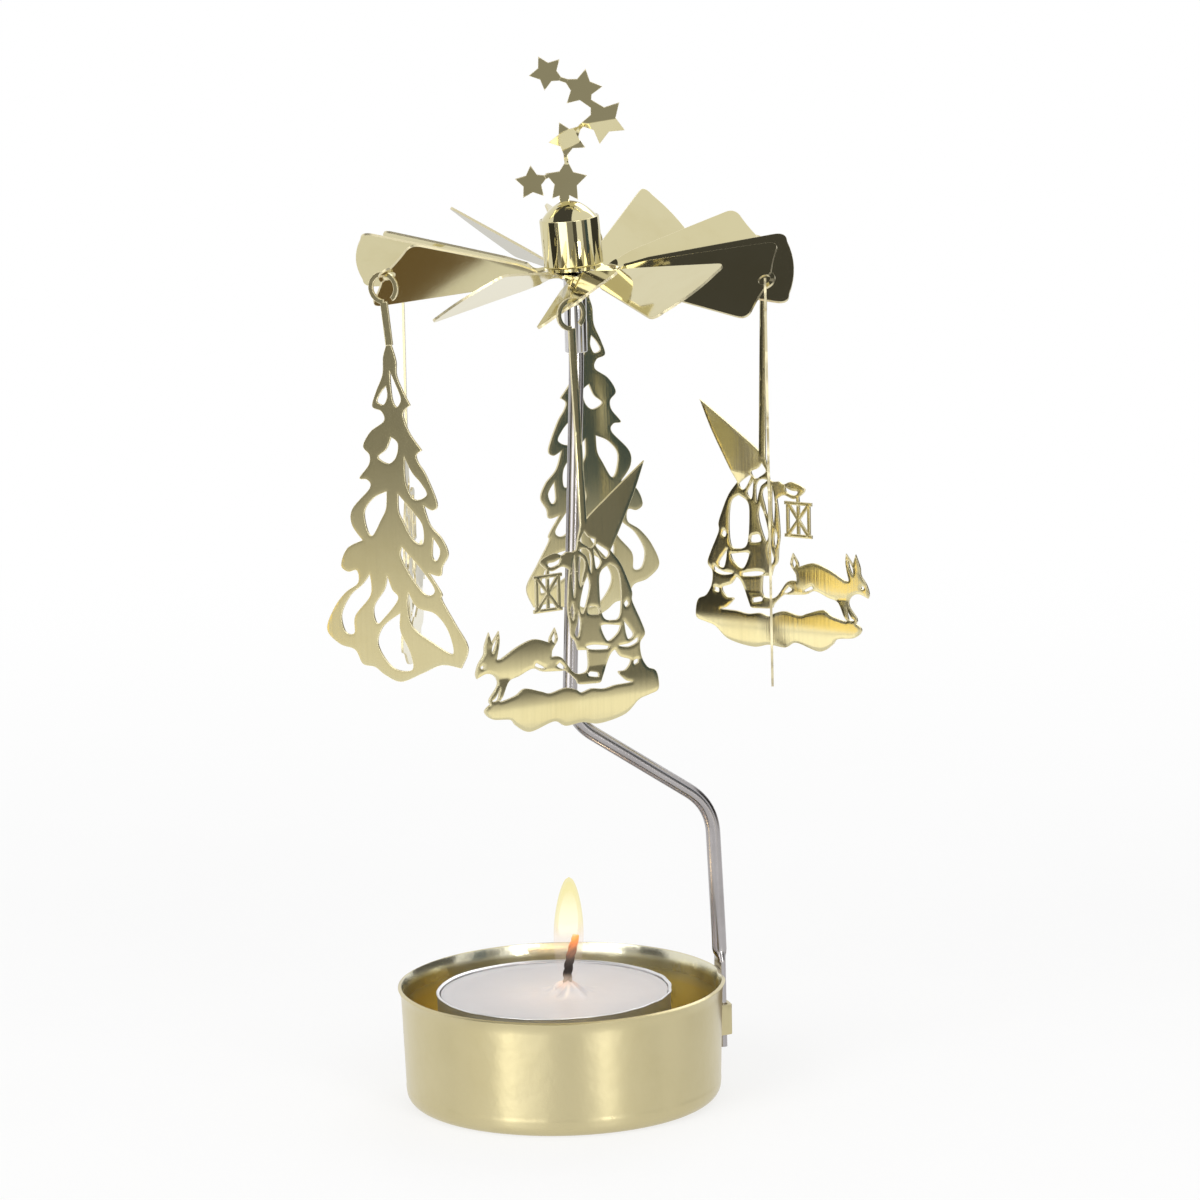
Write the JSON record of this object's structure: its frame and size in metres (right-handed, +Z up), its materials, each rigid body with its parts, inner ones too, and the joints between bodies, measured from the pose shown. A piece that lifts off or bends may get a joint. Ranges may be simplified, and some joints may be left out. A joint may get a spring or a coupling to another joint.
{
  "type": "rotating candle holder",
  "caption": "Rotating tealight carousel: a drawn cup with a clipped wire stand, on whose point a vaned spinner turns, hung with die-cut spruce and gnome pendants.",
  "frame": {"origin": "centre of the cup's flat underside", "axes": "+Z up along the cup's axis, +X towards the wire stand's leg on the cup's side"},
  "size_m": [0.0893, 0.0833, 0.1709],
  "materials": {
    "satin_gold": "satin gold plating",
    "gold_sheet": "finely brushed gold plating",
    "gold_mirror": "polished gold plating",
    "steel_wire": "satin drawn wire",
    "bright_steel": "bright plated",
    "shell_aluminium": "bright thin sheet",
    "wax": "translucent white wax",
    "charred_cotton": "charred braid",
    "tinned_steel": "tinned sheet"
  },
  "bodies": {
    "cup": {"cup": "satin_gold"},
    "stand": {"stand_rod": "steel_wire"},
    "spinner": {"vane_wheel": "gold_sheet", "pivot_sleeve": "bright_steel", "spinner_cap": "gold_mirror", "star_topper": "gold_sheet"},
    "tealight": {"tealight_shell": "shell_aluminium", "tealight_wax": "wax", "wick_sustainer": "tinned_steel", "wick": "charred_cotton"},
    "gnome_pendant_1": {"gnome_pendant_1": "gold_sheet"},
    "tree_pendant_1": {"tree_pendant_1": "gold_sheet"},
    "gnome_pendant_2": {"gnome_pendant_2": "gold_sheet"},
    "tree_pendant_2": {"tree_pendant_2": "gold_sheet"},
    "gnome_pendant_3": {"gnome_pendant_3": "gold_sheet"},
    "tree_pendant_3": {"tree_pendant_3": "gold_sheet"}
  },
  "joints": [
    {"name": "stand_pull", "type": "slide", "parent": "cup", "child": "stand", "axis": [0, 0, 1], "range_m": [0, 0.0072]},
    {"name": "spinner_turn", "type": "hinge", "parent": "stand", "child": "spinner", "pos_m": [0.0052, 0, 0.1362], "axis": [0, 0, 1], "continuous": true},
    {"name": "gnome_pendant_1_swing", "type": "hinge", "parent": "spinner", "child": "gnome_pendant_1", "pos_m": [0.03956, 0.00631, 0.13686], "axis": [0.6691, -0.7431, 0], "range_deg": [-12, 30]},
    {"name": "tree_pendant_1_swing", "type": "hinge", "parent": "spinner", "child": "tree_pendant_1", "pos_m": [0.01806, 0.03246, 0.13737], "axis": [0.9848, 0.1736, 0], "range_deg": [-12, 30]},
    {"name": "gnome_pendant_2_swing", "type": "hinge", "parent": "spinner", "child": "gnome_pendant_2", "pos_m": [-0.01532, 0.0283, 0.13561], "axis": [0.3827, 0.9239, 0], "range_deg": [-12, 30]},
    {"name": "tree_pendant_2_swing", "type": "hinge", "parent": "spinner", "child": "tree_pendant_2", "pos_m": [-0.0288, -0.00752, 0.138], "axis": [-0.6947, 0.7193, 0], "range_deg": [-12, 30]},
    {"name": "gnome_pendant_3_swing", "type": "hinge", "parent": "spinner", "child": "gnome_pendant_3", "pos_m": [-0.00602, -0.03316, 0.13575], "axis": [-0.9744, -0.225, 0], "range_deg": [-12, 30]},
    {"name": "tree_pendant_3_swing", "type": "hinge", "parent": "spinner", "child": "tree_pendant_3", "pos_m": [0.02835, -0.02618, 0.13558], "axis": [-0.2924, -0.9563, 0], "range_deg": [-12, 30]},
    {"name": "tealight_lift", "type": "slide", "parent": "cup", "child": "tealight", "axis": [0, 0, 1], "range_m": [0, 0.022]}
  ]
}
